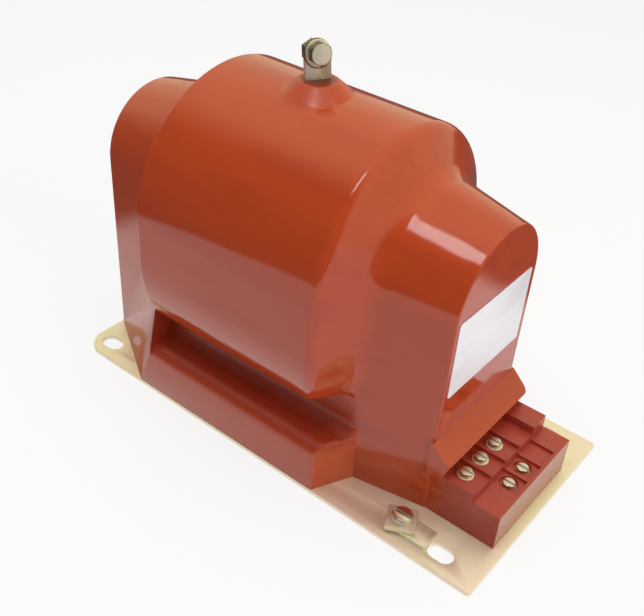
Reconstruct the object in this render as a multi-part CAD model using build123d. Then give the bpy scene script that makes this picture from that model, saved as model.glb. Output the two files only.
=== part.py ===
from build123d import *
import math
import os

# Epoxy cast voltage transformer, millimetres.
# Origin at the middle of the base plate's underside, +Z up.
# +X runs along the length towards the terminal block, -Y is the front long side.

# Base plate
PLATE_LENGTH = 355.0
PLATE_WIDTH = 172.5
PLATE_THICKNESS = 3.0
PLATE_BLIND_CORNER = 18.0
PLATE_TERMINAL_CORNER = 3.0
SLOT_LENGTH = 18.0
SLOT_WIDTH = 12.5
SLOT_BLIND_MARGIN = 17.0
SLOT_TERMINAL_MARGIN = 30.0
SLOT_SIDE_MARGIN = 14.75

# Core hoods and the column under them
HOOD_BLIND_X = -176.5
HOOD_TERMINAL_X = 118.5
HOOD_END_RADIUS = 47.0
HOOD_AXIS_Z = 149.0
HOOD_TAPER = 0.2
HOOD_EDGE_ROUNDING = 1.6

# Coil bulge
BULGE_BLIND_X = -101.5
BULGE_SHOULDER_X = 47.6
BULGE_SHOULDER_ROUNDING = 9.0
BULGE_END_SLOPE = 1.66
BULGE_RADIUS = 88.8
BULGE_AXIS_Z = 145.0
BULGE_TUCK_TOP_Z = 116.0
BULGE_BOTTOM_Z = 70.0
BULGE_TUCK = 10.8
BULGE_EDGE_ROUNDING = 1.6

# Base block with its ledge
BLOCK_HALF_WIDTH = 86.0
LEDGE_Z = 41.0
LEDGE_ROUNDING = 10.0
BLOCK_BLIND_FULL_X = -112.0
BLOCK_STEP_OUTER_X = 53.0
BLOCK_STEP_INNER_X = 66.5
BLOCK_STEP_ROUNDING = 3.0
WAIST_COVE = 11.0

# Terminal block
TERMINAL_END_X = 170.5
TERMINAL_HALF_WIDTH = 46.5
OUTER_TIER_Z = 31.0
INNER_TIER_X = 150.0
CHANNEL_FLOOR_Z = 35.0
CHANNEL_PITCH = 18.0
FIRST_CHANNEL_Y = -33.0
RIB_HEIGHT = 3.0
RIB_THICKNESS = 2.6
BARRIER_Z = 41.0
GROOVE_DEPTH = 2.0
GROOVE_END_RIM = 2.5
INNER_ROW_X = 136.0
OUTER_ROW_X = 158.5
RECESS_RADIUS = 6.5
RECESS_DEPTH = 3.5

# Nose bar over the inner terminals
NOSE_HALF_WIDTH = 50.0
NOSE_TOP_Z = 63.0
NOSE_REACH = 13.5
NOSE_TIP_Z = 50.0
NOSE_UNDERCUT = 6.0
NOSE_CORNER = 4.0

# Nameplate on the terminal end face
NAMEPLATE_WIDTH = 84.0
NAMEPLATE_HEIGHT = 56.0
NAMEPLATE_THICKNESS = 0.6
NAMEPLATE_CORNER = 2.0
NAMEPLATE_CENTRE_Y = -1.5
NAMEPLATE_CENTRE_Z = 124.0

# High-voltage terminal
HV_X = -27.5
BOSS_TOP_RADIUS = 13.0
BOSS_FOOT_RADIUS = 22.0
BOSS_HEIGHT = 7.5
BOSS_EDGE_ROUNDING = 1.5
STRAP_THICKNESS = 3.0
STRAP_WIDTH = 17.4
STRAP_LEAN = 12.0
STRAP_TURN = 30.0
STRAP_CAST_DEPTH = 15.0
LINE_BOLT_UP = 16.0
LINE_THREAD = 8.0
LINE_WASHER_RADIUS = 8.4
LINE_WASHER_THICKNESS = 1.6
LINE_HEX = 13.0
LINE_HEAD = 5.3
LINE_NUT = 6.5
LINE_SPRING_RADIUS = 7.2
LINE_SPRING_THICKNESS = 2.0
LINE_THREAD_END = 6.0

# Secondary terminals
TERMINAL_THREAD = 5.0
TERMINAL_INSERT_RADIUS = 4.6
TERMINAL_INSERT_LENGTH = 13.0
TERMINAL_BITE = 9.0
TERMINAL_WASHER_RADIUS = 5.6
TERMINAL_WASHER_THICKNESS = 1.0
TERMINAL_HEAD_RADIUS = 4.4
TERMINAL_HEAD = 3.2
DRIVER_SLOT = 1.2
DRIVER_SLOT_DEPTH = 1.6

# Earth terminal on the plate
EARTH_END_MARGIN = 62.5
EARTH_SIDE_MARGIN = 17.25
EARTH_THREAD = 8.0
EARTH_LUG_LENGTH = 30.0
EARTH_LUG_WIDTH = 16.0
EARTH_LUG_THICKNESS = 2.5
EARTH_LUG_OFFSET = 8.0
EARTH_WASHER_SIDE = 20.0
EARTH_WASHER_THICKNESS = 3.0
EARTH_WASHER_TURN = 25.0
EARTH_WASHER_CORNER = 1.5
EARTH_HEAD_RADIUS = 7.0
EARTH_HEAD = 4.5
EARTH_DRIVER_SLOT = 2.0

# Base fixing
FIXING_BLIND_X = -140.0
FIXING_TERMINAL_X = 95.0
FIXING_Y = 37.0
FIXING_THREAD = 6.0
FIXING_HEAD_RADIUS = 5.5
FIXING_BITE = 12.0
FIXING_INSERT_RADIUS = 6.0
FIXING_INSERT_LENGTH = 15.0

# Wound core
CORE_END_COVER = 10.0
CORE_BUILD = 38.0
CORE_STACK = 50.0
CORE_FLOOR_COVER = 8.0
CORE_OUTER_BEND = 16.0
CORE_INNER_BEND = 4.0
BAND_WIDTH = 20.0
BAND_THICKNESS = 0.8
BUCKLE_LENGTH = 26.0
BUCKLE_WIDTH = 22.0
BUCKLE_THICKNESS = 2.4

# Windings round the upper limb
COIL_CENTRE_X = -29.0
TUBE_INNER_RADIUS = 31.8
TUBE_WALL = 2.2
TUBE_LENGTH = 150.0
SECONDARY_BUILD = 5.0
RESIDUAL_BUILD = 3.0
LOW_VOLTAGE_LENGTH = 126.0
BARRIER_WALL = 4.0
BARRIER_LENGTH = 140.0
COIL_COVER = 14.8
PRIMARY_INNER_LENGTH = 124.0
PRIMARY_OUTER_LENGTH = 96.0
SHIELD_THICKNESS = 0.6

# Leads
LEAD_RADIUS = 1.2
HV_LEAD_RADIUS = 1.0
LEAD_BEND = 4.0
LEAD_CLEARANCE = 4.0
LEAD_PITCH = 3.4
LEAD_FALL_START = 12.0
LEAD_FALL_END = 6.0
LEAD_FLOOR_Z = 11.5
LEAD_RISE_SHARE = 0.6

# Small values shared by several pieces
HOLE_CLEARANCE = 0.25
EMBED = 2.0
NEAR = 0.01
LEAD_GAP = 0.05
INSERT_WAIST_SHARE = 0.88
HEX_CORNER_CUT = 0.2
HEAD_CHAMFER_SHARE = 0.2

# Places worked out from the sizes above
UP = (Align.CENTER, Align.CENTER, Align.MIN)
CORE_BLIND_X = HOOD_BLIND_X + CORE_END_COVER
CORE_TERMINAL_X = HOOD_TERMINAL_X - CORE_END_COVER
CORE_BOTTOM_Z = PLATE_THICKNESS + CORE_FLOOR_COVER
CORE_TOP_Z = BULGE_AXIS_Z + CORE_BUILD / 2
CORE_SPLIT_Z = (CORE_BOTTOM_Z + CORE_TOP_Z) / 2
CORE_LENGTH = CORE_TERMINAL_X - CORE_BLIND_X
CORE_HEIGHT = CORE_TOP_Z - CORE_BOTTOM_Z
CORE_MIDDLE_X = (CORE_BLIND_X + CORE_TERMINAL_X) / 2
SECONDARY_RADIUS = TUBE_INNER_RADIUS + TUBE_WALL
RESIDUAL_RADIUS = SECONDARY_RADIUS + SECONDARY_BUILD
BARRIER_RADIUS = RESIDUAL_RADIUS + RESIDUAL_BUILD
PRIMARY_RADIUS = BARRIER_RADIUS + BARRIER_WALL
SHIELD_RADIUS = BULGE_RADIUS - COIL_COVER
BOSS_TOP_Z = BULGE_AXIS_Z + BULGE_RADIUS + BOSS_HEIGHT
CHANNEL_YS = [FIRST_CHANNEL_Y + CHANNEL_PITCH * i for i in range(4)]
INNER_TERMINALS = [(INNER_ROW_X, y) for y in CHANNEL_YS[:3]]
OUTER_TERMINALS = [(OUTER_ROW_X, y) for y in CHANNEL_YS[1:3]]
RECESS_FLOOR_Z = OUTER_TIER_Z - RECESS_DEPTH
FIXINGS = [(x, y) for x in (FIXING_BLIND_X, FIXING_TERMINAL_X) for y in (-FIXING_Y, FIXING_Y)]
SLOTS = [(x, y) for x in (SLOT_BLIND_MARGIN - PLATE_LENGTH / 2, PLATE_LENGTH / 2 - SLOT_TERMINAL_MARGIN)
         for y in (SLOT_SIDE_MARGIN - PLATE_WIDTH / 2, PLATE_WIDTH / 2 - SLOT_SIDE_MARGIN)]
EARTH_X = PLATE_LENGTH / 2 - EARTH_END_MARGIN
EARTH_Y = EARTH_SIDE_MARGIN - PLATE_WIDTH / 2


def block(x0, x1, y0, y1, z0, z1):
    """A plain block between two corners."""
    return Pos(x0, y0, z0) * Box(x1 - x0, y1 - y0, z1 - z0, align=(Align.MIN, Align.MIN, Align.MIN))


def rod(x, y, z, radius, height):
    """A vertical cylinder that stands on z."""
    return Pos(x, y, z) * Cylinder(radius, height, align=UP)


def ring(x, y, z, outer, inner, height):
    """A vertical washer that lies on z."""
    return rod(x, y, z, outer, height) - rod(x, y, z, inner, height)


def hexagon(across_flats, height):
    """A hexagonal prism on the ground, its corners cut from three quarters of the height."""
    corner = across_flats / 2 / math.cos(math.radians(30))
    cut = height * HEX_CORNER_CUT
    head = extrude(RegularPolygon(corner, 6), height)
    return head & Cone(corner + 3 * cut, corner - cut, height, align=UP)


def tube_along_x(inner, outer, length):
    """A tube round the coil axis."""
    place = Pos(COIL_CENTRE_X, 0, BULGE_AXIS_Z) * Rot(0, 90, 0)
    return place * (Cylinder(outer, length) - Cylinder(inner, length))


def mirrored(points):
    """A closed plan outline from its front half, listed from one end to the other."""
    return points + [(x, -y) for x, y in reversed(points)]


def hood_radius(x):
    """Half width of the tapered hoods and of the column under them."""
    if x < (HOOD_BLIND_X + HOOD_TERMINAL_X) / 2:
        return HOOD_END_RADIUS + HOOD_TAPER * (x - HOOD_BLIND_X)
    return HOOD_END_RADIUS + HOOD_TAPER * (HOOD_TERMINAL_X - x)


# Resin casting

def column():
    """Both hoods and the column that carries them, tapered towards the ends."""
    half = [(HOOD_BLIND_X, -HOOD_END_RADIUS), (BULGE_BLIND_X, -hood_radius(BULGE_BLIND_X)),
            (BLOCK_STEP_INNER_X, -hood_radius(BLOCK_STEP_INNER_X)), (HOOD_TERMINAL_X, -HOOD_END_RADIUS)]
    plan = make_face(Polyline(*mirrored(half), close=True))
    lower = Pos(0, 0, PLATE_THICKNESS) * extrude(plan, HOOD_AXIS_Z - PLATE_THICKNESS)
    outline = [(HOOD_BLIND_X, 0)] + [(x, -y) for x, y in half] + [(HOOD_TERMINAL_X, 0)]
    upper = revolve(make_face(Polyline(*outline, close=True)), Axis.X, 360)
    upper = split(Pos(0, 0, HOOD_AXIS_Z) * upper, Plane.XY.offset(HOOD_AXIS_Z), keep=Keep.TOP)
    solid = lower + upper
    edges = [e for x in (HOOD_BLIND_X, HOOD_TERMINAL_X)
             for e in solid.edges().filter_by_position(Axis.X, x - NEAR, x + NEAR)
             if e.bounding_box().max.Z > CORE_SPLIT_Z]
    return fillet(edges, HOOD_EDGE_ROUNDING)


def bulge_outline(inset):
    """Half outline of the bulge, drawn in by an inset on all sides but the flat blind end."""
    half = BULGE_RADIUS - inset
    steep = math.hypot(1, BULGE_END_SLOPE)
    corner = BULGE_SHOULDER_X - inset * (steep - 1) / BULGE_END_SLOPE
    tail = corner + (half - HOOD_END_RADIUS) / BULGE_END_SLOPE
    return [(BULGE_BLIND_X, half), (corner, half), (tail, HOOD_END_RADIUS)]


def rounded_shoulder(face):
    """The face with its shoulder corners rounded."""
    corners = face.vertices().filter_by(lambda v: BULGE_BLIND_X + NEAR < v.X < BULGE_SHOULDER_X + NEAR)
    return fillet(corners, BULGE_SHOULDER_ROUNDING)


def bulge_plan(inset):
    """Plan of the bulge at one height."""
    half = [(x, -y) for x, y in bulge_outline(inset)]
    return rounded_shoulder(make_face(Polyline(*mirrored(half), close=True)))


def bulge():
    """The round-topped coil bulge with its sloped end and tucked-in lower sides."""
    outline = bulge_outline(0)
    profile = [(BULGE_BLIND_X, 0)] + outline + [(outline[-1][0], 0)]
    section = rounded_shoulder(make_face(Polyline(*profile, close=True)))
    round_top = Pos(0, 0, BULGE_AXIS_Z) * revolve(section, Axis.X, 360)
    upper = split(round_top, Plane.XY.offset(BULGE_AXIS_Z), keep=Keep.TOP)
    middle = Pos(0, 0, BULGE_TUCK_TOP_Z) * extrude(bulge_plan(0), BULGE_AXIS_Z - BULGE_TUCK_TOP_Z)
    drop = BULGE_TUCK_TOP_Z - BULGE_BOTTOM_Z
    levels = [Pos(0, 0, BULGE_TUCK_TOP_Z - drop * t) * bulge_plan(BULGE_TUCK * t * t) for t in (0, 0.5, 1)]
    solid = upper + middle + loft(levels)
    rim = solid.edges().filter_by_position(Axis.X, BULGE_BLIND_X - NEAR, BULGE_BLIND_X + NEAR)
    rim = [e for e in rim if e.center().Z > BULGE_BOTTOM_Z + NEAR]
    return fillet(rim, BULGE_EDGE_ROUNDING)


def block_plan():
    """Plan of the full-width foot: slanted at the blind end, stepped in at the terminal end."""
    inner = hood_radius(BLOCK_STEP_INNER_X)
    run = (BLOCK_STEP_INNER_X - BLOCK_STEP_OUTER_X) / (BLOCK_HALF_WIDTH - inner)
    buried_x = BLOCK_STEP_INNER_X + run * (inner - HOOD_END_RADIUS)
    half = [(HOOD_BLIND_X, -HOOD_END_RADIUS), (BLOCK_BLIND_FULL_X, -BLOCK_HALF_WIDTH),
            (BLOCK_STEP_OUTER_X, -BLOCK_HALF_WIDTH), (buried_x, -HOOD_END_RADIUS)]
    return make_face(Polyline(*mirrored(half), close=True))


def base_block():
    """The full-width foot of the casting, its ledge rounded along the sides."""
    height = LEDGE_Z - PLATE_THICKNESS
    section = Pos(0, PLATE_THICKNESS + height / 2) * Rectangle(2 * BLOCK_HALF_WIDTH, height)
    section = fillet(section.vertices().group_by(Axis.Y)[-1], LEDGE_ROUNDING)
    bar = extrude(Plane.YZ * section, PLATE_LENGTH, both=True)
    foot = bar & Pos(0, 0, PLATE_THICKNESS) * extrude(block_plan(), height)
    steps = [e for e in foot.edges() if e.center().X > BLOCK_STEP_OUTER_X - NEAR
             and abs(e.center().Y) > HOOD_END_RADIUS + NEAR and e.center().Z > PLATE_THICKNESS + NEAR]
    return cut_by_webs(fillet(steps, BLOCK_STEP_ROUNDING))


def cut_by_webs(solid):
    """The solid cut along both sloped webs, each from the slanted foot up to the bulge's lower corner."""
    for side in (-1, 1):
        end = Vector(HOOD_BLIND_X, side * HOOD_END_RADIUS, PLATE_THICKNESS)
        full = Vector(BLOCK_BLIND_FULL_X, side * BLOCK_HALF_WIDTH, PLATE_THICKNESS)
        high = Vector(BULGE_BLIND_X, side * (BULGE_RADIUS - BULGE_TUCK), BULGE_BOTTOM_Z)
        normal = (full - end).cross(high - end).normalized()
        if normal.Y * side < 0:
            normal = normal * -1
        solid = split(solid, Plane(origin=end, z_dir=normal), keep=Keep.BOTTOM)
    return solid


def blind_webs():
    """The sloped webs that close the waist recess and run out on the blind hood's sides."""
    half = [(HOOD_BLIND_X, -HOOD_END_RADIUS), (BLOCK_BLIND_FULL_X, -BLOCK_HALF_WIDTH),
            (BULGE_BLIND_X + BULGE_EDGE_ROUNDING, -BLOCK_HALF_WIDTH)]
    plan = make_face(Polyline(*mirrored(half), close=True))
    low = LEDGE_Z - LEDGE_ROUNDING
    return cut_by_webs(Pos(0, 0, low) * extrude(plan, BULGE_AXIS_Z - low))


def terminal_block():
    """The two-tier terminal block with its channels, ribs, end barriers and screw recesses."""
    outer = block(HOOD_TERMINAL_X - EMBED, TERMINAL_END_X, -TERMINAL_HALF_WIDTH, TERMINAL_HALF_WIDTH,
                  PLATE_THICKNESS, OUTER_TIER_Z)
    inner = block(HOOD_TERMINAL_X - EMBED, INNER_TIER_X, -TERMINAL_HALF_WIDTH, TERMINAL_HALF_WIDTH,
                  PLATE_THICKNESS, CHANNEL_FLOOR_Z)
    first = CHANNEL_YS[0] - CHANNEL_PITCH / 2
    last = CHANNEL_YS[-1] + CHANNEL_PITCH / 2
    rib_z = CHANNEL_FLOOR_Z + RIB_HEIGHT
    solid = outer + inner
    solid += block(HOOD_TERMINAL_X - EMBED, INNER_TIER_X, -TERMINAL_HALF_WIDTH, first, OUTER_TIER_Z, rib_z)
    solid += block(HOOD_TERMINAL_X - EMBED, INNER_TIER_X, last, TERMINAL_HALF_WIDTH, OUTER_TIER_Z, BARRIER_Z)
    for y in CHANNEL_YS[:-1]:
        edge = y + CHANNEL_PITCH / 2
        solid += block(HOOD_TERMINAL_X - EMBED, INNER_TIER_X, edge - RIB_THICKNESS / 2,
                       edge + RIB_THICKNESS / 2, OUTER_TIER_Z, rib_z)
    width = CHANNEL_PITCH - RIB_THICKNESS
    for y in CHANNEL_YS[1:]:
        solid -= block(INNER_TIER_X, TERMINAL_END_X - GROOVE_END_RIM, y - width / 2, y + width / 2,
                       OUTER_TIER_Z - GROOVE_DEPTH, OUTER_TIER_Z)
    for x, y in OUTER_TERMINALS:
        solid -= rod(x, y, RECESS_FLOOR_Z, RECESS_RADIUS, RECESS_DEPTH)
    return solid


def nose_bar():
    """The sloped bar that overhangs the inner terminals, its tip's corners rounded in plan."""
    tip_x = HOOD_TERMINAL_X + NOSE_REACH
    root_x = HOOD_TERMINAL_X - EMBED
    points = [(root_x, NOSE_TOP_Z), (HOOD_TERMINAL_X, NOSE_TOP_Z), (tip_x, NOSE_TIP_Z),
              (tip_x - NOSE_UNDERCUT, CHANNEL_FLOOR_Z), (root_x, CHANNEL_FLOOR_Z)]
    section = make_face(Plane.XZ * Polyline(*points, close=True))
    plan = Pos((root_x + tip_x) / 2, 0) * Rectangle(tip_x - root_x, 2 * NOSE_HALF_WIDTH)
    plan = fillet(plan.vertices().group_by(Axis.X)[-1], NOSE_CORNER)
    return extrude(section, NOSE_HALF_WIDTH, both=True) & extrude(plan, NOSE_TOP_Z)


def hv_boss():
    """The round boss on top of the bulge."""
    foot_z = BOSS_TOP_Z - 2 * BOSS_HEIGHT
    taper = BOSS_FOOT_RADIUS - BOSS_TOP_RADIUS
    boss = Pos(HV_X, 0, foot_z) * Cone(BOSS_FOOT_RADIUS + taper, BOSS_TOP_RADIUS, 2 * BOSS_HEIGHT, align=UP)
    return fillet(boss.edges().group_by(Axis.Z)[-1], BOSS_EDGE_ROUNDING)


def waist_cove():
    """The hollow rounding between the column's wall and the ledge, cut to the block's plan."""
    sections = []
    for x in (BULGE_BLIND_X, BLOCK_STEP_INNER_X):
        wall = hood_radius(x)
        foot = (wall + WAIST_COVE, LEDGE_Z)
        head = (wall, LEDGE_Z + WAIST_COVE)
        hollow = CenterArc((foot[0], head[1]), WAIST_COVE, 180, 90)
        buried = Polyline(head, (0, head[1]), (0, LEDGE_Z), foot)
        sections.append(Plane.YZ.offset(x) * make_face([hollow, buried]))
    one = loft(sections, ruled=True) & Pos(0, 0, LEDGE_Z) * extrude(block_plan(), WAIST_COVE)
    return one + mirror(one, about=Plane.XZ)


def casting():
    """The whole casting before anything is cast into it."""
    foot = base_block() + waist_cove() + terminal_block() + nose_bar()
    return column() + foot + blind_webs() + bulge() + hv_boss()


# Base plate and its fixings

def base_plate():
    """Sheet-steel plate with four slots, the earth hole and the countersunk fixing holes."""
    plate = Box(PLATE_LENGTH, PLATE_WIDTH, PLATE_THICKNESS, align=UP)
    uprights = plate.edges().filter_by(Axis.Z)
    plate = fillet(uprights.filter_by_position(Axis.X, -PLATE_LENGTH, 0), PLATE_BLIND_CORNER)
    uprights = plate.edges().filter_by(Axis.Z)
    plate = fillet(uprights.filter_by_position(Axis.X, PLATE_LENGTH / 2 - NEAR, PLATE_LENGTH),
                   PLATE_TERMINAL_CORNER)
    slot = extrude(SlotOverall(SLOT_LENGTH, SLOT_WIDTH), PLATE_THICKNESS)
    for x, y in SLOTS:
        plate -= Pos(x, y, 0) * slot
    for x, y in FIXINGS:
        plate -= Pos(x, y, 0) * fixing_cone()
        plate -= rod(x, y, 0, FIXING_THREAD / 2, PLATE_THICKNESS)
    return plate - rod(EARTH_X, EARTH_Y, 0, EARTH_THREAD / 2, PLATE_THICKNESS)


def fixing_cone():
    """The countersunk head, flush with the underside of the plate."""
    height = FIXING_HEAD_RADIUS - FIXING_THREAD / 2
    return Cone(FIXING_HEAD_RADIUS, FIXING_THREAD / 2, height, align=UP)


def base_screws():
    """Four countersunk screws from below."""
    screw = fixing_cone() + rod(0, 0, 0, FIXING_THREAD / 2, PLATE_THICKNESS + FIXING_BITE)
    return Compound([Pos(x, y, 0) * screw for x, y in FIXINGS])


def insert(x, y, top, radius, length, thread, bite):
    """A brass insert with a waist that keys it into the resin, and its blind hole."""
    waist = length / 3
    body = rod(x, y, top - length, radius, length)
    body -= ring(x, y, top - length + waist, radius + EMBED, radius * INSERT_WAIST_SHARE, waist)
    return body - rod(x, y, top - bite, thread / 2, bite)


def base_inserts():
    """Inserts in the underside of the casting for the countersunk screws."""
    one = insert(0, 0, 0, FIXING_INSERT_RADIUS, FIXING_INSERT_LENGTH, FIXING_THREAD, FIXING_BITE)
    return Compound([Pos(x, y, PLATE_THICKNESS) * Rot(180, 0, 0) * one for x, y in FIXINGS])


def nameplate():
    """The bare plate on the end face over the terminals."""
    outline = RectangleRounded(NAMEPLATE_WIDTH, NAMEPLATE_HEIGHT, NAMEPLATE_CORNER)
    sheet = extrude(Plane.YZ * outline, NAMEPLATE_THICKNESS)
    return Pos(HOOD_TERMINAL_X, NAMEPLATE_CENTRE_Y, NAMEPLATE_CENTRE_Z) * sheet


# High-voltage terminal

def hv_strap_place():
    """The strap's frame: its origin is on the boss, +Z runs up the strap and +X is its front."""
    return Pos(HV_X, 0, BOSS_TOP_Z) * Rot(0, 0, -STRAP_TURN) * Rot(0, -STRAP_LEAN, 0)


def hv_line_place():
    """The line bolt's frame: its origin is on the strap's front face, +Z points out of it."""
    return hv_strap_place() * Pos(0, 0, LINE_BOLT_UP) * Rot(0, 90, 0)


def hv_strap():
    """The flat strap cast into the boss, its end round about the hole for the line bolt."""
    half = STRAP_WIDTH / 2
    strap = hv_strap_place() * block(-STRAP_THICKNESS, 0, -half, half, -STRAP_CAST_DEPTH, LINE_BOLT_UP)
    strap += hv_line_place() * rod(0, 0, -STRAP_THICKNESS, half, STRAP_THICKNESS)
    hole = rod(0, 0, -STRAP_THICKNESS, LINE_THREAD / 2 + HOLE_CLEARANCE, STRAP_THICKNESS)
    return strap - hv_line_place() * hole


def hv_line_washer():
    washer = ring(0, 0, 0, LINE_WASHER_RADIUS, LINE_THREAD / 2 + HOLE_CLEARANCE, LINE_WASHER_THICKNESS)
    return hv_line_place() * washer


def hv_line_spring_washer():
    hole = LINE_THREAD / 2 + HOLE_CLEARANCE
    z = -STRAP_THICKNESS - LINE_SPRING_THICKNESS
    return hv_line_place() * ring(0, 0, z, LINE_SPRING_RADIUS, hole, LINE_SPRING_THICKNESS)


def hv_line_nut():
    z = -STRAP_THICKNESS - LINE_SPRING_THICKNESS - LINE_NUT
    nut = hexagon(LINE_HEX, LINE_NUT) - rod(0, 0, 0, LINE_THREAD / 2, LINE_NUT)
    return hv_line_place() * Pos(0, 0, z) * nut


def hv_line_bolt():
    """The bolt that takes the line conductor, its head at the strap's front."""
    low = -STRAP_THICKNESS - LINE_SPRING_THICKNESS - LINE_NUT - LINE_THREAD_END
    shank = rod(0, 0, low, LINE_THREAD / 2, LINE_WASHER_THICKNESS - low)
    return hv_line_place() * (shank + Pos(0, 0, LINE_WASHER_THICKNESS) * hexagon(LINE_HEX, LINE_HEAD))


# Secondary terminals

def slotted_head(radius, height, slot, depth):
    """A cheese head with a driver slot along X."""
    head = Cylinder(radius, height, align=UP)
    head = chamfer(head.edges().group_by(Axis.Z)[-1], height * HEAD_CHAMFER_SHARE)
    return head - block(-radius, radius, -slot / 2, slot / 2, height - depth, height)


def terminal_screw(x, y, seat, washer):
    """A slotted terminal screw whose head sits a washer's thickness above its seat."""
    head = slotted_head(TERMINAL_HEAD_RADIUS, TERMINAL_HEAD, DRIVER_SLOT, DRIVER_SLOT_DEPTH)
    shank = rod(x, y, seat - TERMINAL_BITE, TERMINAL_THREAD / 2, TERMINAL_BITE + washer)
    return shank + Pos(x, y, seat + washer) * head


def terminal_screws():
    """The screws of the inner row."""
    washer = TERMINAL_WASHER_THICKNESS
    return Compound([terminal_screw(x, y, CHANNEL_FLOOR_Z, washer) for x, y in INNER_TERMINALS])


def terminal_washers():
    """The washers of the inner row."""
    hole = TERMINAL_THREAD / 2 + HOLE_CLEARANCE
    return Compound([ring(x, y, CHANNEL_FLOOR_Z, TERMINAL_WASHER_RADIUS, hole, TERMINAL_WASHER_THICKNESS)
                     for x, y in INNER_TERMINALS])


def outer_terminal_screws():
    """The screws of the outer row, down in their round recesses."""
    return Compound([terminal_screw(x, y, RECESS_FLOOR_Z, 0) for x, y in OUTER_TERMINALS])


def row_of_inserts(places, top):
    """Terminal inserts flush with the resin at one height."""
    return Compound([insert(x, y, top, TERMINAL_INSERT_RADIUS, TERMINAL_INSERT_LENGTH, TERMINAL_THREAD,
                            TERMINAL_BITE) for x, y in places])


def terminal_inserts():
    """The inserts of the inner row."""
    return row_of_inserts(INNER_TERMINALS, CHANNEL_FLOOR_Z)


def outer_terminal_inserts():
    """The inserts of the outer row."""
    return row_of_inserts(OUTER_TERMINALS, RECESS_FLOOR_Z)


# Earth terminal

def earth_lug():
    """A strip on the plate under the earth screw."""
    half = EARTH_LUG_WIDTH / 2
    x = EARTH_X + EARTH_LUG_OFFSET
    strip = block(x - EARTH_LUG_LENGTH / 2, x + EARTH_LUG_LENGTH / 2, EARTH_Y - half, EARTH_Y + half,
                  PLATE_THICKNESS, PLATE_THICKNESS + EARTH_LUG_THICKNESS)
    hole = EARTH_THREAD / 2 + HOLE_CLEARANCE
    return strip - rod(EARTH_X, EARTH_Y, PLATE_THICKNESS, hole, EARTH_LUG_THICKNESS)


def earth_washer():
    """The square washer, turned as the photo shows it."""
    z = PLATE_THICKNESS + EARTH_LUG_THICKNESS
    washer = Box(EARTH_WASHER_SIDE, EARTH_WASHER_SIDE, EARTH_WASHER_THICKNESS, align=UP)
    washer = fillet(washer.edges().filter_by(Axis.Z), EARTH_WASHER_CORNER)
    washer -= Cylinder(EARTH_THREAD / 2 + HOLE_CLEARANCE, EARTH_WASHER_THICKNESS, align=UP)
    return Pos(EARTH_X, EARTH_Y, z) * Rot(0, 0, EARTH_WASHER_TURN) * washer


def earth_screw():
    """The slotted earth screw, threaded into the plate."""
    z = PLATE_THICKNESS + EARTH_LUG_THICKNESS + EARTH_WASHER_THICKNESS
    head = slotted_head(EARTH_HEAD_RADIUS, EARTH_HEAD, EARTH_DRIVER_SLOT, EARTH_HEAD / 2)
    return rod(EARTH_X, EARTH_Y, 0, EARTH_THREAD / 2, z) + Pos(EARTH_X, EARTH_Y, z) * head


# Core and windings

def core_frame(grow, depth):
    """A rounded rectangular ring in the upright long plane, as large as the core plus grow."""
    outer = RectangleRounded(CORE_LENGTH + 2 * grow, CORE_HEIGHT + 2 * grow, CORE_OUTER_BEND + grow)
    middle = Pos(CORE_MIDDLE_X, 0, CORE_SPLIT_Z)
    return middle * extrude(Plane.XZ * outer, depth / 2, both=True)


def core():
    """The whole wound core: a rectangular ring of steel strip."""
    window = RectangleRounded(CORE_LENGTH - 2 * CORE_BUILD, CORE_HEIGHT - 2 * CORE_BUILD, CORE_INNER_BEND)
    hole = Pos(CORE_MIDDLE_X, 0, CORE_SPLIT_Z) * extrude(Plane.XZ * window, CORE_STACK, both=True)
    return core_frame(0, CORE_STACK) - hole


def core_upper():
    return split(core(), Plane.XY.offset(CORE_SPLIT_Z), keep=Keep.TOP)


def core_lower():
    return split(core(), Plane.XY.offset(CORE_SPLIT_Z), keep=Keep.BOTTOM)


def core_band():
    """The steel band that clamps the two core halves together."""
    return core_frame(BAND_THICKNESS, BAND_WIDTH) - core_frame(0, BAND_WIDTH)


def band_buckle():
    """The buckle that closes the band, on the blind end of the core."""
    x = CORE_BLIND_X - BAND_THICKNESS
    half = BUCKLE_WIDTH / 2
    return block(x - BUCKLE_THICKNESS, x, -half, half, CORE_SPLIT_Z - BUCKLE_LENGTH / 2,
                 CORE_SPLIT_Z + BUCKLE_LENGTH / 2)


def winding_tube():
    return tube_along_x(TUBE_INNER_RADIUS, SECONDARY_RADIUS, TUBE_LENGTH)


def secondary_winding():
    return tube_along_x(SECONDARY_RADIUS, RESIDUAL_RADIUS, LOW_VOLTAGE_LENGTH)


def residual_winding():
    return tube_along_x(RESIDUAL_RADIUS, BARRIER_RADIUS, LOW_VOLTAGE_LENGTH)


def barrier_tube():
    return tube_along_x(BARRIER_RADIUS, PRIMARY_RADIUS, BARRIER_LENGTH)


def primary_winding():
    """The high-voltage coil, whose layers grow shorter towards the outside."""
    inner = PRIMARY_INNER_LENGTH / 2
    outer = PRIMARY_OUTER_LENGTH / 2
    profile = [(-inner, PRIMARY_RADIUS), (-outer, SHIELD_RADIUS), (outer, SHIELD_RADIUS),
               (inner, PRIMARY_RADIUS)]
    coil = revolve(make_face(Polyline(*profile, close=True)), Axis.X, 360)
    return Pos(COIL_CENTRE_X, 0, BULGE_AXIS_Z) * coil


def primary_shield():
    return tube_along_x(SHIELD_RADIUS, SHIELD_RADIUS + SHIELD_THICKNESS, PRIMARY_OUTER_LENGTH)


# Leads

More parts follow.
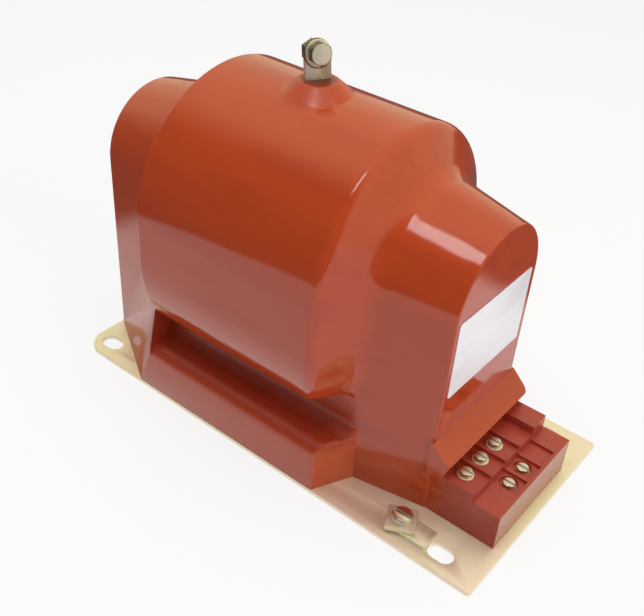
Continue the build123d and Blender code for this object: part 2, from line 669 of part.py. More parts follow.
def hv_lead():
    """A straight lead from the coil's screen up into the strap's cast-in end."""
    low = BULGE_AXIS_Z + SHIELD_RADIUS + SHIELD_THICKNESS + LEAD_GAP
    foot = (hv_strap_place() * Pos(-STRAP_THICKNESS / 2, 0, -STRAP_CAST_DEPTH)).position
    return rod(foot.X, foot.Y, low, HV_LEAD_RADIUS, foot.Z + HV_LEAD_RADIUS - low) - hv_strap()


def lead(start_radius, start_x, lane_y, insert_x, insert_y, insert_bottom):
    """A lead from a winding's end, past the core limb, to the underside of an insert."""
    start_z = BULGE_AXIS_Z - math.sqrt(start_radius ** 2 - lane_y ** 2)
    window_x = COIL_CENTRE_X + TUBE_LENGTH / 2 + LEAD_FALL_START
    past_x = CORE_TERMINAL_X + LEAD_FALL_END
    route = [(start_x, lane_y, start_z), (window_x, lane_y, start_z), (past_x, lane_y, LEAD_FLOOR_Z),
             (insert_x, insert_y, LEAD_FLOOR_Z), (insert_x, insert_y, insert_bottom)]
    last_bend = (insert_bottom - LEAD_FLOOR_Z) * LEAD_RISE_SHARE
    path = FilletPolyline(*route, radius=[LEAD_BEND, LEAD_BEND, last_bend])
    return sweep(Plane(origin=route[0], z_dir=(1, 0, 0)) * Circle(LEAD_RADIUS), path=path)


def lead_lane(step):
    """Side distance of a lead that runs down beside the core limb."""
    return -(CORE_STACK / 2 + LEAD_CLEARANCE + LEAD_PITCH * step)


def low_voltage_leads(radius, terminals, steps):
    """The two leads of a low-voltage winding."""
    start_x = COIL_CENTRE_X + LOW_VOLTAGE_LENGTH / 2
    return Compound([lead(radius, start_x, lead_lane(step), *terminal)
                     for terminal, step in zip(terminals, steps)])


def insert_bottom(row_z):
    return row_z - TERMINAL_INSERT_LENGTH


def secondary_leads():
    floor = insert_bottom(CHANNEL_FLOOR_Z)
    ends = [(*INNER_TERMINALS[2], floor), (*INNER_TERMINALS[1], floor)]
    return low_voltage_leads((SECONDARY_RADIUS + RESIDUAL_RADIUS) / 2, ends, (0, 1))


def residual_leads():
    ends = [(*OUTER_TERMINALS[0], insert_bottom(RECESS_FLOOR_Z)),
            (*INNER_TERMINALS[0], insert_bottom(CHANNEL_FLOOR_Z))]
    return low_voltage_leads((RESIDUAL_RADIUS + BARRIER_RADIUS) / 2, ends, (2, 3))


def neutral_lead():
    start_x = COIL_CENTRE_X + PRIMARY_INNER_LENGTH / 2
    x, y = OUTER_TERMINALS[1]
    return lead(PRIMARY_RADIUS + 2 * LEAD_RADIUS, start_x, -lead_lane(0), x, y, insert_bottom(RECESS_FLOOR_Z))


def core_earth_strap():
    """The short link that earths the core to the base plate."""
    height = CORE_BOTTOM_Z - BAND_THICKNESS - PLATE_THICKNESS
    return rod(CORE_MIDDLE_X, 0, PLATE_THICKNESS, LEAD_RADIUS, height)


CAST_IN = {
    "terminal_inserts": terminal_inserts,
    "outer_terminal_inserts": outer_terminal_inserts,
    "base_inserts": base_inserts,
    "core_upper": core_upper,
    "core_lower": core_lower,
    "core_band": core_band,
    "band_buckle": band_buckle,
    "winding_tube": winding_tube,
    "secondary_winding": secondary_winding,
    "residual_winding": residual_winding,
    "barrier_tube": barrier_tube,
    "primary_winding": primary_winding,
    "primary_shield": primary_shield,
    "hv_lead": hv_lead,
    "neutral_lead": neutral_lead,
    "secondary_leads": secondary_leads,
    "residual_leads": residual_leads,
    "core_earth_strap": core_earth_strap,
}

FITTED = {
    "base_plate": base_plate,
    "base_screws": base_screws,
    "nameplate": nameplate,
    "hv_strap": hv_strap,
    "hv_line_bolt": hv_line_bolt,
    "hv_line_washer": hv_line_washer,
    "hv_line_spring_washer": hv_line_spring_washer,
    "hv_line_nut": hv_line_nut,
    "terminal_screws": terminal_screws,
    "terminal_washers": terminal_washers,
    "outer_terminal_screws": outer_terminal_screws,
    "earth_lug": earth_lug,
    "earth_washer": earth_washer,
    "earth_screw": earth_screw,
}

THREADED_IN = ["hv_strap", "base_screws", "terminal_screws", "outer_terminal_screws"]


def main():
    os.makedirs("parts", exist_ok=True)
    pieces = {name: make() for name, make in {**CAST_IN, **FITTED}.items()}
    resin = casting()
    for name in [*CAST_IN, *THREADED_IN]:
        resin -= pieces[name]
    pieces["resin_body"] = resin
    for name, piece in pieces.items():
        export_step(piece, f"parts/{name}.step")


main()
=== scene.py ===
import math
import bpy
from mathutils import Matrix, Vector


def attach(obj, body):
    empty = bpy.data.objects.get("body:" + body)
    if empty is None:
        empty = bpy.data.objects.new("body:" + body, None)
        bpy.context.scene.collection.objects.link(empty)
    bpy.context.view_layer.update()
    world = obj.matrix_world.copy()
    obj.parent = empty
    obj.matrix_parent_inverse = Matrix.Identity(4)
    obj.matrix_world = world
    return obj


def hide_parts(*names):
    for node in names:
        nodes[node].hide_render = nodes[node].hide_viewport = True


# An epoxy cast voltage transformer: glossy red-brown resin on a zinc-passivated base plate.
# Lengths are metres in the part's own frame: +X runs towards the terminal block, -Y is the near side.

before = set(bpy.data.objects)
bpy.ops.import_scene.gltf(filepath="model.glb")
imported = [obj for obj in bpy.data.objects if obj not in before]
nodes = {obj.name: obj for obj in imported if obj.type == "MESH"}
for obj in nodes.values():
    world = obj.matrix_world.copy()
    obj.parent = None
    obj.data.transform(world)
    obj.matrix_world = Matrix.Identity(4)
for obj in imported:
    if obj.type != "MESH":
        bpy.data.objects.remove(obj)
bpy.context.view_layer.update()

MM = 0.001

# The photograph's camera: its focal length in the photograph's pixels, its angles in degrees, and its shifts
# and distance in millimetres
PHOTO_WIDTH = 644
FOCAL_LENGTH = 929.1
SENSOR_WIDTH = 36
AZIMUTH, ELEVATION, ROLL = 36.67, 36.31, 4.16
SHIFT_X, SHIFT_Y, DISTANCE = 5.05, -64.68, 701.03

# Places on the casting, and how much its hoods narrow along their length
BLOCK_X = 118.5 * MM
BLOCK_END_X = 170.5 * MM
BLOCK_TOP_Z = 64 * MM
BULGE_FLOOR_Z = 70 * MM
BULGE_RIM_Y = 60 * MM
ROOT_X = (50 * MM, 74 * MM)
ROOT_Y = 62 * MM
CREASE_X = 66.5 * MM
CREASE_Y = 57 * MM
CREASE_Z = (3.5 * MM, 149.1 * MM)
SLID_SEAM_X = 75 * MM
HOOD_AXIS = Vector((0, 0, 149 * MM))
HOOD_TAPER = 0.2
BOSS_CENTRE = (-27.5 * MM, 0, 0)

# The line bolt's seat on the strap, its axis and the direction across the strap
LINE_SEAT = (-30.38 * MM, 1.66 * MM, 256.95 * MM)
LINE_AXIS = (0.847, -0.489, 0.208)
STRAP_ACROSS = (0.5, 0.866, 0)

# Roundings of the casting and the shortest edge of the terminal block that is rounded
ROOT_ROUNDING = 7 * MM
RIM_ROUNDING = 1.6 * MM
BLOCK_ROUNDING = 0.6 * MM
SHORTEST_BLOCK_EDGE = 2.5 * MM

# Vertices closer than this are merged in a copy of a node
MERGE_DISTANCE = 0.004 * MM

# Angles between faces, in degrees: up to the first one they are joined as one flat face, within the second
# pair they meet at a shallow crease and within the third at a sharp edge
FLAT_ANGLE = 0.4
CREASE_ANGLES = (5, 15)
SHARP_ANGLES = (30, 180)

# Angles up to which an edge is shaded smooth, on the casting and on the other pieces
SMOOTH_CASTING_ANGLE = 38
SMOOTH_PIECE_ANGLE = 40

# The angle from which an edge of those other pieces is rounded
BEVEL_ANGLE = 35

# The floor, how much of it glows to the eye, and the soft borders of its one pale sheet in reflections
FLOOR_SIZE = 8
FLOOR_Z = -0.4 * MM
FLOOR_GLOW = 0.8
SHEET_LEFT = (-0.36, -0.32)
SHEET_FAR = (0.20, 0.23)
SHEET_NEAR = (-0.95, -0.75)

# The Y of a reflected ray's direction, between the room's dark side and its pale wall
WALL_BORDER = (-0.48, 0.02)


# Camera, at the photograph's own angle

def set_camera():
    azimuth, elevation, roll = (math.radians(a) for a in (AZIMUTH, ELEVATION, ROLL))
    back = Vector((math.sin(azimuth) * math.cos(elevation), -math.cos(azimuth) * math.cos(elevation),
                   math.sin(elevation)))
    level = Vector((math.cos(azimuth), math.sin(azimuth), 0))
    above = back.cross(level)
    right = level * math.cos(roll) + above * math.sin(roll)
    up = above * math.cos(roll) - level * math.sin(roll)
    eye = (back * DISTANCE - right * SHIFT_X - up * SHIFT_Y) * MM
    lens = bpy.data.cameras.new("camera")
    lens.sensor_fit = "HORIZONTAL"
    lens.sensor_width = SENSOR_WIDTH
    lens.lens = FOCAL_LENGTH * SENSOR_WIDTH / PHOTO_WIDTH
    lens.clip_start = 0.01
    lens.clip_end = 30
    camera = bpy.data.objects.new("camera", lens)
    bpy.context.scene.collection.objects.link(camera)
    turn = Matrix((right, up, back)).transposed().to_4x4()
    camera.matrix_world = Matrix.Translation(eye) @ turn
    bpy.context.scene.camera = camera


# Shader arithmetic

class Value:
    """A socket of a node tree, with arithmetic that adds its nodes."""

    def __init__(self, finish, socket):
        self.finish = finish
        self.socket = socket

    def _sum(self, operation, first, second):
        return self.finish.node("Math", {"operation": operation}, {0: first, 1: second})

    def __add__(self, other):
        return self._sum("ADD", self, other)

    def __rsub__(self, other):
        return self._sum("SUBTRACT", other, self)

    def __mul__(self, other):
        return self._sum("MULTIPLY", self, other)

    __radd__ = __add__
    __rmul__ = __mul__


class Finish:
    """A material or world with a node tree of its own."""

    def __init__(self, owner):
        owner.use_nodes = True
        self.owner = owner
        self.tree = owner.node_tree
        self.tree.nodes.clear()

    def node(self, kind, settings=None, sockets=None, out=0):
        """Adds one node, with its settings first and then the values or links of its sockets."""
        made = self.tree.nodes.new("ShaderNode" + kind)
        for name, value in (settings or {}).items():
            setattr(made, name, value)
        for name, value in (sockets or {}).items():
            self._plug(self._socket(made.inputs, name), value)
        if not made.outputs:
            return None
        return Value(self, self._socket(made.outputs, out))

    def _socket(self, sockets, name):
        if isinstance(name, int):
            return [s for s in sockets if s.enabled][name]
        return next(s for s in sockets if s.enabled and s.name == name)

    def _plug(self, socket, value):
        if isinstance(value, Value):
            self.tree.links.new(value.socket, socket)
        elif isinstance(value, tuple) and len(value) == 3 and len(socket.default_value) == 4:
            socket.default_value = (*value, 1)
        else:
            socket.default_value = value

    def place(self, scale=(1, 1, 1)):
        """Object coordinates, scaled."""
        where = self.node("TexCoord", out="Object")
        return self.node("Mapping", {}, {"Vector": where, "Scale": scale})

    def clouds(self, where, size, detail=3.0, roughness=0.5):
        """Noise from 0 to 1 whose blotches are about size metres across."""
        return self.node("TexNoise", {}, {"Vector": where, "Scale": 1 / size, "Detail": detail,
                                          "Roughness": roughness})

    def steps(self, value, low, high):
        """0 below low, 1 above high and a soft edge between."""
        return self.node("MapRange", {"interpolation_type": "SMOOTHSTEP"},
                         {"Value": value, "From Min": low, "From Max": high})

    def tint(self, factor, first, second):
        """One colour or the other by a factor."""
        return self.node("Mix", {"data_type": "RGBA"}, {"Factor": factor, "A": first, "B": second})

    def relief(self, height, depth, strength):
        """A bump of a given depth in metres and a strength from 0 to 1."""
        return self.node("Bump", {}, {"Height": height, "Distance": depth, "Strength": strength})

    def vector(self, operation, first, second=None, out="Vector"):
        """One Vector Math node."""
        sockets = {0: first} if second is None else {0: first, 1: second}
        return self.node("VectorMath", {"operation": operation}, sockets, out)

    def ray(self, kind):
        """1 for rays of one kind and 0 for the others."""
        return self.node("LightPath", out=f"Is {kind} Ray")

    def surface(self, **sockets):
        """The surface shader, from its sockets by name."""
        named = {name.replace("_", " "): value for name, value in sockets.items()}
        shader = self.node("BsdfPrincipled", {}, named)
        self.node("OutputMaterial", {}, {"Surface": shader})
        return self.owner


def new_finish(name):
    return Finish(bpy.data.materials.new(name))


# Finishes

def cast_resin():
    """Red-brown epoxy from a polished mould.

    It has painted shade and is dull in the side recesses, is dusty on the block's end, duller in the terminal
    block and on the boss, and has a ring of painted shade round the strap's foot.
    """
    f = new_finish("cast_resin")
    where = f.place()
    wide = f.clouds(where, 90 * MM, 2)
    fine = f.clouds(where, 4 * MM, 3)
    grit = f.clouds(where, 1.2 * MM, 2)
    ripple = f.clouds(where, 30 * MM, 2)
    streak = f.clouds(f.place((0.2, 1, 1)), 16 * MM, 3)
    x, y, z = (f.node("SeparateXYZ", {}, {"Vector": where}, axis) for axis in "XYZ")
    out = f.node("Math", {"operation": "ABSOLUTE"}, {0: y})
    terminal = f.steps(x, 124 * MM, 133 * MM) * (1 - f.steps(z, 42 * MM, 47 * MM))
    recess = f.steps(out, 52 * MM, 60 * MM) * f.steps(z, 30 * MM, 41 * MM)
    recess = recess * (1 - f.steps(z, 67 * MM, 71 * MM))
    recess = recess * f.steps(x, -115 * MM, -95 * MM) * (1 - f.steps(x, 58 * MM, 70 * MM))
    dusty_end = f.steps(x, BLOCK_END_X - 0.4 * MM, BLOCK_END_X)
    dull = f.steps(fine, 0.45, 0.7) * terminal
    off_boss = f.vector("DISTANCE", f.place((1, 1, 0)), BOSS_CENTRE, "Value")
    boss = 1 - f.steps(off_boss, 19 * MM, 27 * MM)
    # A ring of painted shade on the boss's top round the strap's foot
    strap_foot_shade = (1 - f.steps(off_boss, 9.5 * MM, 12.5 * MM)) * f.steps(z, 240.2 * MM, 240.8 * MM)
    colour = f.tint(wide, (0.45, 0.052, 0.011), (0.50, 0.063, 0.015))
    colour = f.tint(f.steps(streak, 0.45, 0.7) * 0.5, colour, (0.40, 0.043, 0.012))
    colour = f.tint(terminal * 0.75, colour, (0.37, 0.052, 0.036))
    # Painted shade in the side recesses, mottled by grit
    colour = f.tint(recess * (0.45 + grit * 0.4), colour, (0.27, 0.022, 0.010))
    colour = f.tint(dusty_end * (0.35 + f.steps(fine, 0.3, 0.7) * 0.35), colour, (0.50, 0.30, 0.21))
    colour = f.tint(strap_foot_shade * 0.8, colour, (0.12, 0.008, 0.004))
    rough = 0.09 + wide * 0.05 + terminal * 0.16 + dull * 0.2 + recess * 0.28 + boss * 0.24
    grain = f.relief(fine + grit * recess, 0.04 * MM, 0.25 + recess * 0.3)
    wave = f.node("Bump", {}, {"Height": ripple + streak * 0.5, "Distance": 0.5 * MM, "Strength": 0.35,
                               "Normal": grain})
    return f.surface(Base_Color=colour, Roughness=rough, IOR=1.55, Normal=wave)


def passivated_steel():
    """Zinc plate with a pale yellow passivation that drifts to pink, and grey smudges."""
    f = new_finish("passivated_steel")
    where = f.place()
    drift = f.clouds(where, 70 * MM, 3)
    smudge = f.clouds(where, 12 * MM, 4, 0.6)
    rolled = f.clouds(f.place((0.15, 1, 1)), 1.2 * MM, 2)
    colour = f.tint(f.steps(drift, 0.35, 0.65), (0.88, 0.82, 0.56), (0.92, 0.77, 0.62))
    colour = f.tint(f.steps(smudge, 0.55, 0.8) * 0.35, colour, (0.68, 0.65, 0.51))
    return f.surface(Base_Color=colour, Metallic=0.6, Roughness=0.36 + smudge * 0.18,
                     Normal=f.relief(rolled, 0.02 * MM, 0.4))


def bright_zinc():
    """Zinc-plated fasteners with a cream bloom and small marks."""
    f = new_finish("bright_zinc")
    where = f.place()
    bloom = f.clouds(where, 6 * MM, 3)
    marks = f.clouds(where, 1.1 * MM, 4, 0.6)
    colour = f.tint(f.steps(bloom, 0.4, 0.65), (0.74, 0.71, 0.64), (0.80, 0.72, 0.54))
    return f.surface(Base_Color=colour, Metallic=1.0, Roughness=0.2 + marks * 0.25,
                     Normal=f.relief(marks, 0.06 * MM, 0.5))


def line_zinc_with_painted_shade():
    """Zinc on the line terminal, with painted shade and painted resin reflection on half of the strap and
    painted shade round the bolt's head and nut.
    """
    f = new_finish("line_zinc_with_painted_shade")
    where = f.place()
    bloom = f.clouds(where, 4 * MM, 3)
    marks = f.clouds(where, 1.1 * MM, 4, 0.6)
    offset = f.vector("SUBTRACT", where, LINE_SEAT)
    across = f.vector("DOT_PRODUCT", offset, STRAP_ACROSS, "Value")
    moment = f.vector("CROSS_PRODUCT", offset, LINE_AXIS)
    radius = f.vector("LENGTH", moment, out="Value")
    half = f.steps(across, -2.5 * MM, 3 * MM) * f.steps(radius, 8 * MM, 9 * MM)
    dark = f.steps(radius, 6.2 * MM, 6.6 * MM) * (1 - f.steps(radius, 8.8 * MM, 10.2 * MM))
    colour = f.tint(f.steps(bloom, 0.4, 0.65), (0.78, 0.74, 0.69), (0.84, 0.78, 0.66))
    colour = f.tint(f.steps(marks, 0.5, 0.7) * 0.4, colour, (0.46, 0.42, 0.37))
    # Painted shade and painted reflection of the resin on one half of the strap, outside the washer
    colour = f.tint(half * 0.7, colour, (0.42, 0.30, 0.19))
    # Painted shade on the sides of the bolt's head and nut and under the washer's rim
    colour = f.tint(dark * 0.85, colour, (0.11, 0.065, 0.045))
    return f.surface(Base_Color=colour, Metallic=0.9, Roughness=0.3 + marks * 0.3,
                     Normal=f.relief(marks, 0.08 * MM, 0.6))


def yellow_zinc():
    """The washers and the earth strip, in a stronger yellow than the screws."""
    f = new_finish("yellow_zinc")
    where = f.place()
    bloom = f.clouds(where, 4 * MM, 3)
    marks = f.clouds(where, 0.9 * MM, 4, 0.6)
    colour = f.tint(f.steps(bloom, 0.35, 0.7), (0.80, 0.72, 0.48), (0.86, 0.81, 0.66))
    return f.surface(Base_Color=colour, Metallic=0.7, Roughness=0.30 + marks * 0.25,
                     Normal=f.relief(marks, 0.05 * MM, 0.5))


def white_plate():
    """A white coated label plate, bare, with faint lilac smears."""
    f = new_finish("white_plate")
    smear = f.clouds(f.place((1, 0.35, 1)), 20 * MM, 3)
    speck = f.clouds(f.place(), 3 * MM, 3)
    colour = f.tint(f.steps(smear, 0.42, 0.72), (0.94, 0.93, 0.95), (0.88, 0.85, 0.90))
    return f.surface(Base_Color=colour, Roughness=0.28 + speck * 0.15, IOR=1.5,
                     Normal=f.relief(speck, 0.03 * MM, 0.3))


def machined_brass():
    """Turned brass inserts."""
    f = new_finish("machined_brass")
    turned = f.clouds(f.place((1, 1, 6)), 2 * MM, 3)
    return f.surface(Base_Color=f.tint(turned, (0.72, 0.50, 0.20), (0.86, 0.66, 0.32)), Metallic=1.0,
                     Roughness=0.25 + turned * 0.2)


def wound_strip():
    """The core's wound strip, as fine lines along the part."""
    f = new_finish("wound_strip")
    lines = f.clouds(f.place((0.2, 1, 1)), 0.8 * MM, 2)
    return f.surface(Base_Color=f.tint(lines, (0.20, 0.21, 0.23), (0.42, 0.43, 0.45)), Metallic=0.9,
                     Roughness=0.35 + lines * 0.2, Normal=f.relief(lines, 0.05 * MM, 0.5))


def copper_turns():
    """Enamelled wire laid in turns round the coil."""
    f = new_finish("copper_turns")
    turns = f.node("TexWave", {"bands_direction": "X"}, {"Vector": f.place(), "Scale": 120.0,
                                                         "Distortion": 0.4}, "Fac")
    return f.surface(Base_Color=f.tint(turns, (0.28, 0.09, 0.03), (0.62, 0.26, 0.10)), Metallic=0.7,
                     Roughness=0.3 + turns * 0.1, Normal=f.relief(turns, 0.3 * MM, 0.8))


def pressboard():
    """Tan insulating board with a fibrous face."""
    f = new_finish("pressboard")
    fibre = f.clouds(f.place((1, 4, 4)), 3 * MM, 4)
    return f.surface(Base_Color=f.tint(fibre, (0.46, 0.32, 0.16), (0.60, 0.44, 0.25)),
                     Roughness=0.65 + fibre * 0.2, Normal=f.relief(fibre, 0.1 * MM, 0.5))


def wire_sleeve():
    """Cream sleeving on the leads."""
    f = new_finish("wire_sleeve")
    weave = f.clouds(f.place(), 1.2 * MM, 3)
    return f.surface(Base_Color=f.tint(weave, (0.62, 0.57, 0.44), (0.78, 0.73, 0.60)),
                     Roughness=0.6 + weave * 0.2, Normal=f.relief(weave, 0.08 * MM, 0.5))


# Modelling helpers

def pick_only(piece):
    bpy.ops.object.select_all(action="DESELECT")
    piece.select_set(True)
    bpy.context.view_layer.objects.active = piece


def finish_piece(piece, name, finish, slot, *replaced):
    """Names a piece, lays its finish on, and sets its body and the node that it replaces."""
    piece.name = name
    piece.data.name = name
    piece.data.materials.clear()
    piece.data.materials.append(finish)
    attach(piece, "root")
    if replaced:
        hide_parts(*replaced)


def copy_of(node, name):
    """A merged copy of a node's mesh, its flat faces joined up again."""
    piece = bpy.data.objects.new(name, nodes[node].data.copy())
    bpy.context.scene.collection.objects.link(piece)
    pick_only(piece)
    bpy.ops.object.mode_set(mode="EDIT")
    bpy.ops.mesh.select_all(action="SELECT")
    bpy.ops.mesh.customdata_custom_splitnormals_clear()
    bpy.ops.mesh.remove_doubles(threshold=MERGE_DISTANCE)
    bpy.ops.mesh.dissolve_limited(angle_limit=math.radians(FLAT_ANGLE))
    bpy.ops.object.mode_set(mode="OBJECT")
    return piece


def in_block(point):
    """Whether a point lies on the terminal block or on the bar over it."""
    return point.x > BLOCK_X - 0.5 * MM and point.z < BLOCK_TOP_Z


def on_root(point):
    """Whether a point lies where the bulge's sloped end runs into the hood."""
    return ROOT_X[0] < point.x < ROOT_X[1] and point.z > BULGE_FLOOR_Z - 0.1 * MM and abs(point.y) < ROOT_Y


def on_bulge_rim(point):
    """Whether a point lies on the bulge's lower edge."""
    return abs(point.z - BULGE_FLOOR_Z) < 0.2 * MM and abs(point.y) > BULGE_RIM_Y


def on_side_crease(point):
    """Whether a point lies on the shallow upright crease in the column's side, just behind the root."""
    beside = abs(point.x - CREASE_X) < 0.1 * MM and abs(point.y) > CREASE_Y
    return beside and CREASE_Z[0] < point.z < CREASE_Z[1]


def bent_edges(mesh, wanted, angles):
    """The edges with both ends wanted whose faces meet at an angle between two limits, with their lengths."""
    least, most = angles
    around = {}
    for face in mesh.polygons:
        for key in face.edge_keys:
            around.setdefault(key, []).append(face.normal)
    chosen = []
    for edge in mesh.edges:
        first, last = (mesh.vertices[i].co for i in edge.vertices)
        normals = around.get(edge.key, [])
        if len(normals) == 2 and wanted(first) and wanted(last):
            if least < math.degrees(normals[0].angle(normals[1], 0)) < most:
                chosen.append((edge.index, (last - first).length))
    return chosen


def dissolve_crease(piece, wanted):
    """Joins the faces on both sides of a shallow crease, so that a rounding can run across it."""
    pick_only(piece)
    bpy.ops.object.mode_set(mode="EDIT")
    bpy.ops.mesh.select_mode(type="EDGE")
    bpy.ops.mesh.select_all(action="DESELECT")
    bpy.ops.object.mode_set(mode="OBJECT")
    for index, _ in bent_edges(piece.data, wanted, CREASE_ANGLES):
        piece.data.edges[index].select = True
    bpy.ops.object.mode_set(mode="EDIT")
    bpy.ops.mesh.dissolve_edges(use_verts=False)
    bpy.ops.object.mode_set(mode="OBJECT")


def slide_seam(piece):
    """Slides the ring of vertices over the crease along the tapered hood, away from the bulge's root."""
    for vertex in piece.data.vertices:
        place = vertex.co
        if abs(place.x - CREASE_X) < 0.05 * MM and place.z > HOOD_AXIS.z - 0.1 * MM:
            out = place - Vector((place.x, HOOD_AXIS.y, HOOD_AXIS.z))
            out *= 1 - HOOD_TAPER * (SLID_SEAM_X - CREASE_X) / out.length
            vertex.co = Vector((SLID_SEAM_X, HOOD_AXIS.y, HOOD_AXIS.z)) + out


def round_edges(piece, wanted, width, segments, shortest=0.0, clamp=True):
    """Rounds the sharp edges with both ends wanted."""
    mesh = piece.data
    weights = mesh.attributes.new("bevel_weight_edge", "FLOAT", "EDGE")
    for index, length in bent_edges(mesh, wanted, SHARP_ANGLES):
        if length > shortest:
            weights.data[index].value = 1.0
    pick_only(piece)
    bevel = piece.modifiers.new("bevel", "BEVEL")
    bevel.width = width
    bevel.segments = segments
    bevel.limit_method = "WEIGHT"
    bevel.use_clamp_overlap = clamp
    bpy.ops.object.modifier_apply(modifier=bevel.name)
    mesh = piece.data
    mesh.attributes.remove(mesh.attributes["bevel_weight_edge"])


def weigh_normals(piece):
    """Keeps the large flat faces flat in their shading beside the small rounded ones."""
    pick_only(piece)
    weighted = piece.modifiers.new("weighted", "WEIGHTED_NORMAL")
    weighted.keep_sharp = True
    bpy.ops.object.modifier_apply(modifier=weighted.name)


def soften(piece, width):
    """Rounds the sharp edges of a piece and shades it smooth."""
    pick_only(piece)
    bevel = piece.modifiers.new("bevel", "BEVEL")
    bevel.width = width
    bevel.segments = 3
    bevel.limit_method = "ANGLE"
    bevel.angle_limit = math.radians(BEVEL_ANGLE)
    bevel.use_clamp_overlap = False
    bevel.miter_outer = "MITER_ARC"
    bpy.ops.object.modifier_apply(modifier=bevel.name)
    bpy.ops.object.shade_smooth_by_angle(angle=math.radians(SMOOTH_PIECE_ANGLE))
    return piece


# The stage

def floor_finish():
    """Pale floor, white to the eye, of which the resin's reflections show one sheet on darker ground."""
    f = new_finish("pale_floor")
    where = f.place()
    x = f.node("SeparateXYZ", {}, {"Vector": where}, "X")
    y = f.node("SeparateXYZ", {}, {"Vector": where}, "Y")
    sheet = f.steps(x, *SHEET_LEFT) * (1 - f.steps(y, *SHEET_FAR)) * f.steps(y, *SHEET_NEAR)
    eye = f.ray("Camera")
    clear = f.ray("Transmission")
    glossy = f.ray("Glossy")
    shown = f.tint(glossy, (1.0, 1.0, 1.0), f.tint(sheet, (0.10, 0.10, 0.10), (1.0, 0.97, 0.95)))
    lit = f.node("BsdfDiffuse", {}, {"Color": (0.86, 0.85, 0.84)})
    glow = f.node("Emission", {}, {"Color": shown, "Strength": 1.0})
    share = (eye + clear) * FLOOR_GLOW + glossy
    both = f.node("MixShader", {}, {"Fac": share, 1: lit, 2: glow})
    f.node("OutputMaterial", {}, {"Surface": both})
    return f.owner


def studio():
    """A pale floor, a world that is white to the eye, and three lamps."""
    bpy.ops.object.select_all(action="DESELECT")
    bpy.ops.mesh.primitive_plane_add(size=FLOOR_SIZE, location=(0, 0, FLOOR_Z))
    floor = bpy.context.object
    floor.name = "floor"
    floor.data.materials.append(floor_finish())

    world = bpy.data.worlds.new("studio")
    bpy.context.scene.world = world
    f = Finish(world)
    ray = f.node("TexCoord", {}, {}, "Generated")
    ahead = f.node("SeparateXYZ", {}, {"Vector": ray}, "Y")
    wall = f.steps(ahead, *WALL_BORDER)
    eye = f.ray("Camera")
    glossy = f.ray("Glossy")
    clear = f.ray("Transmission")
    ambient = f.node("Background", {}, {"Color": (1.0, 0.99, 0.98), "Strength": 0.30})
    white = f.node("Background", {}, {"Color": (1.0, 1.0, 1.0), "Strength": 1.0})
    room = f.node("Background", {}, {"Color": f.tint(wall, (0.09, 0.08, 0.07), (0.95, 0.88, 0.62)),
                                     "Strength": 1.0})
    lit = f.node("MixShader", {}, {"Fac": glossy, 1: ambient, 2: room})
    both = f.node("MixShader", {}, {"Fac": eye + clear, 1: lit, 2: white})
    f.node("OutputWorld", {}, {"Surface": both})

    lamp("key", place=(-0.25, 0.05, 1.7), target=(0, 0, 0.1), size=(1.5, 1.5), power=17, in_gloss=False)
    lamp("strip", place=(0.05, -0.36, 1.30), target=(0.09, -0.03, 0.19), size=(0.24, 0.40), power=1.7,
         in_gloss=True)
    lamp("end", place=(1.5, -0.1, 0.75), target=(0.12, 0, 0.1), size=(0.9, 0.9), power=9.5, in_gloss=False)


def lamp(name, place, target, size, power, in_gloss):
    """A rectangular lamp, unseen by the camera, that shows in the resin's reflections or doesn't."""
    light = bpy.data.lights.new(name, "AREA")
    light.shape = "RECTANGLE"
    light.size, light.size_y = size
    light.energy = power
    piece = bpy.data.objects.new(name, light)
    bpy.context.scene.collection.objects.link(piece)
    aim = Vector(target) - Vector(place)
    piece.rotation_euler = aim.to_track_quat("-Z", "Y").to_euler()
    piece.location = place
    piece.visible_camera = False
    piece.visible_glossy = in_gloss


# The object

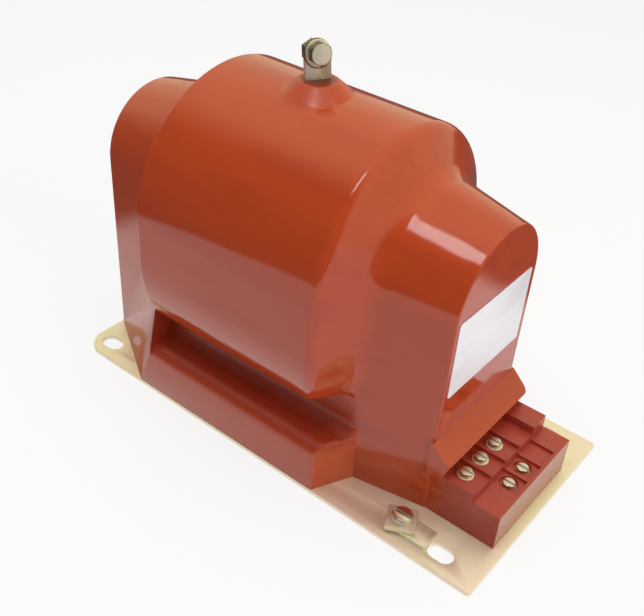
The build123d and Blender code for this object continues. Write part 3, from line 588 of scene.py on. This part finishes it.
def dress():
    """Lays the finishes on, over the nodes as they are or over merged and softened copies of them."""
    resin, plate, zinc, yellow = cast_resin(), passivated_steel(), bright_zinc(), yellow_zinc()
    painted_shade_zinc = line_zinc_with_painted_shade()
    white, brass, strip = white_plate(), machined_brass(), wound_strip()
    copper, board, sleeve = copper_turns(), pressboard(), wire_sleeve()

    body = copy_of("resin_body", "resin_casting")
    dissolve_crease(body, on_side_crease)
    slide_seam(body)
    round_edges(body, on_root, ROOT_ROUNDING, segments=6, clamp=False)
    round_edges(body, on_bulge_rim, RIM_ROUNDING, segments=3, clamp=False)
    round_edges(body, in_block, BLOCK_ROUNDING, segments=3, shortest=SHORTEST_BLOCK_EDGE)
    bpy.ops.object.shade_smooth_by_angle(angle=math.radians(SMOOTH_CASTING_ANGLE))
    weigh_normals(body)
    finish_piece(body, "resin_casting", resin, "resin", "resin_body")

    softened = {
        "base_plate": ("steel_base_plate", plate, "passivated_steel", 0.4 * MM),
        "nameplate": ("white_nameplate", white, "label_plate", 0.15 * MM),
        "hv_strap": ("line_strap", painted_shade_zinc, "zinc_steel", 0.4 * MM),
        "hv_line_bolt": ("line_bolt", painted_shade_zinc, "zinc_steel", 0.3 * MM),
        "hv_line_washer": ("line_washer", yellow, "zinc_steel", 0.3 * MM),
        "hv_line_nut": ("line_nut", painted_shade_zinc, "zinc_steel", 0.3 * MM),
        "terminal_screws": ("inner_row_screws", zinc, "zinc_steel", 0.3 * MM),
        "terminal_washers": ("inner_row_washers", yellow, "zinc_steel", 0.2 * MM),
        "outer_terminal_screws": ("outer_row_screws", zinc, "zinc_steel", 0.3 * MM),
        "earth_lug": ("earth_strip", yellow, "zinc_steel", 0.3 * MM),
        "earth_washer": ("earth_square_washer", yellow, "zinc_steel", 0.4 * MM),
        "earth_screw": ("earth_slotted_screw", zinc, "zinc_steel", 0.4 * MM),
    }
    for node, (name, finish, slot, width) in softened.items():
        finish_piece(soften(copy_of(node, name), width), name, finish, slot, node)

    kept = {
        "hv_line_spring_washer": zinc, "base_screws": zinc,
        "terminal_inserts": brass, "outer_terminal_inserts": brass,
        "base_inserts": brass, "core_upper": strip, "core_lower": strip, "core_band": zinc,
        "band_buckle": zinc, "winding_tube": board, "barrier_tube": board, "secondary_winding": copper,
        "residual_winding": copper, "primary_winding": copper, "primary_shield": zinc, "hv_lead": copper,
        "neutral_lead": sleeve, "secondary_leads": sleeve, "residual_leads": sleeve,
        "core_earth_strap": copper,
    }
    for node, finish in kept.items():
        nodes[node].data.materials.clear()
        nodes[node].data.materials.append(finish)


set_camera()
bpy.ops.object.select_all(action="DESELECT")
dress()
studio()
bpy.context.scene.view_settings.view_transform = "Standard"
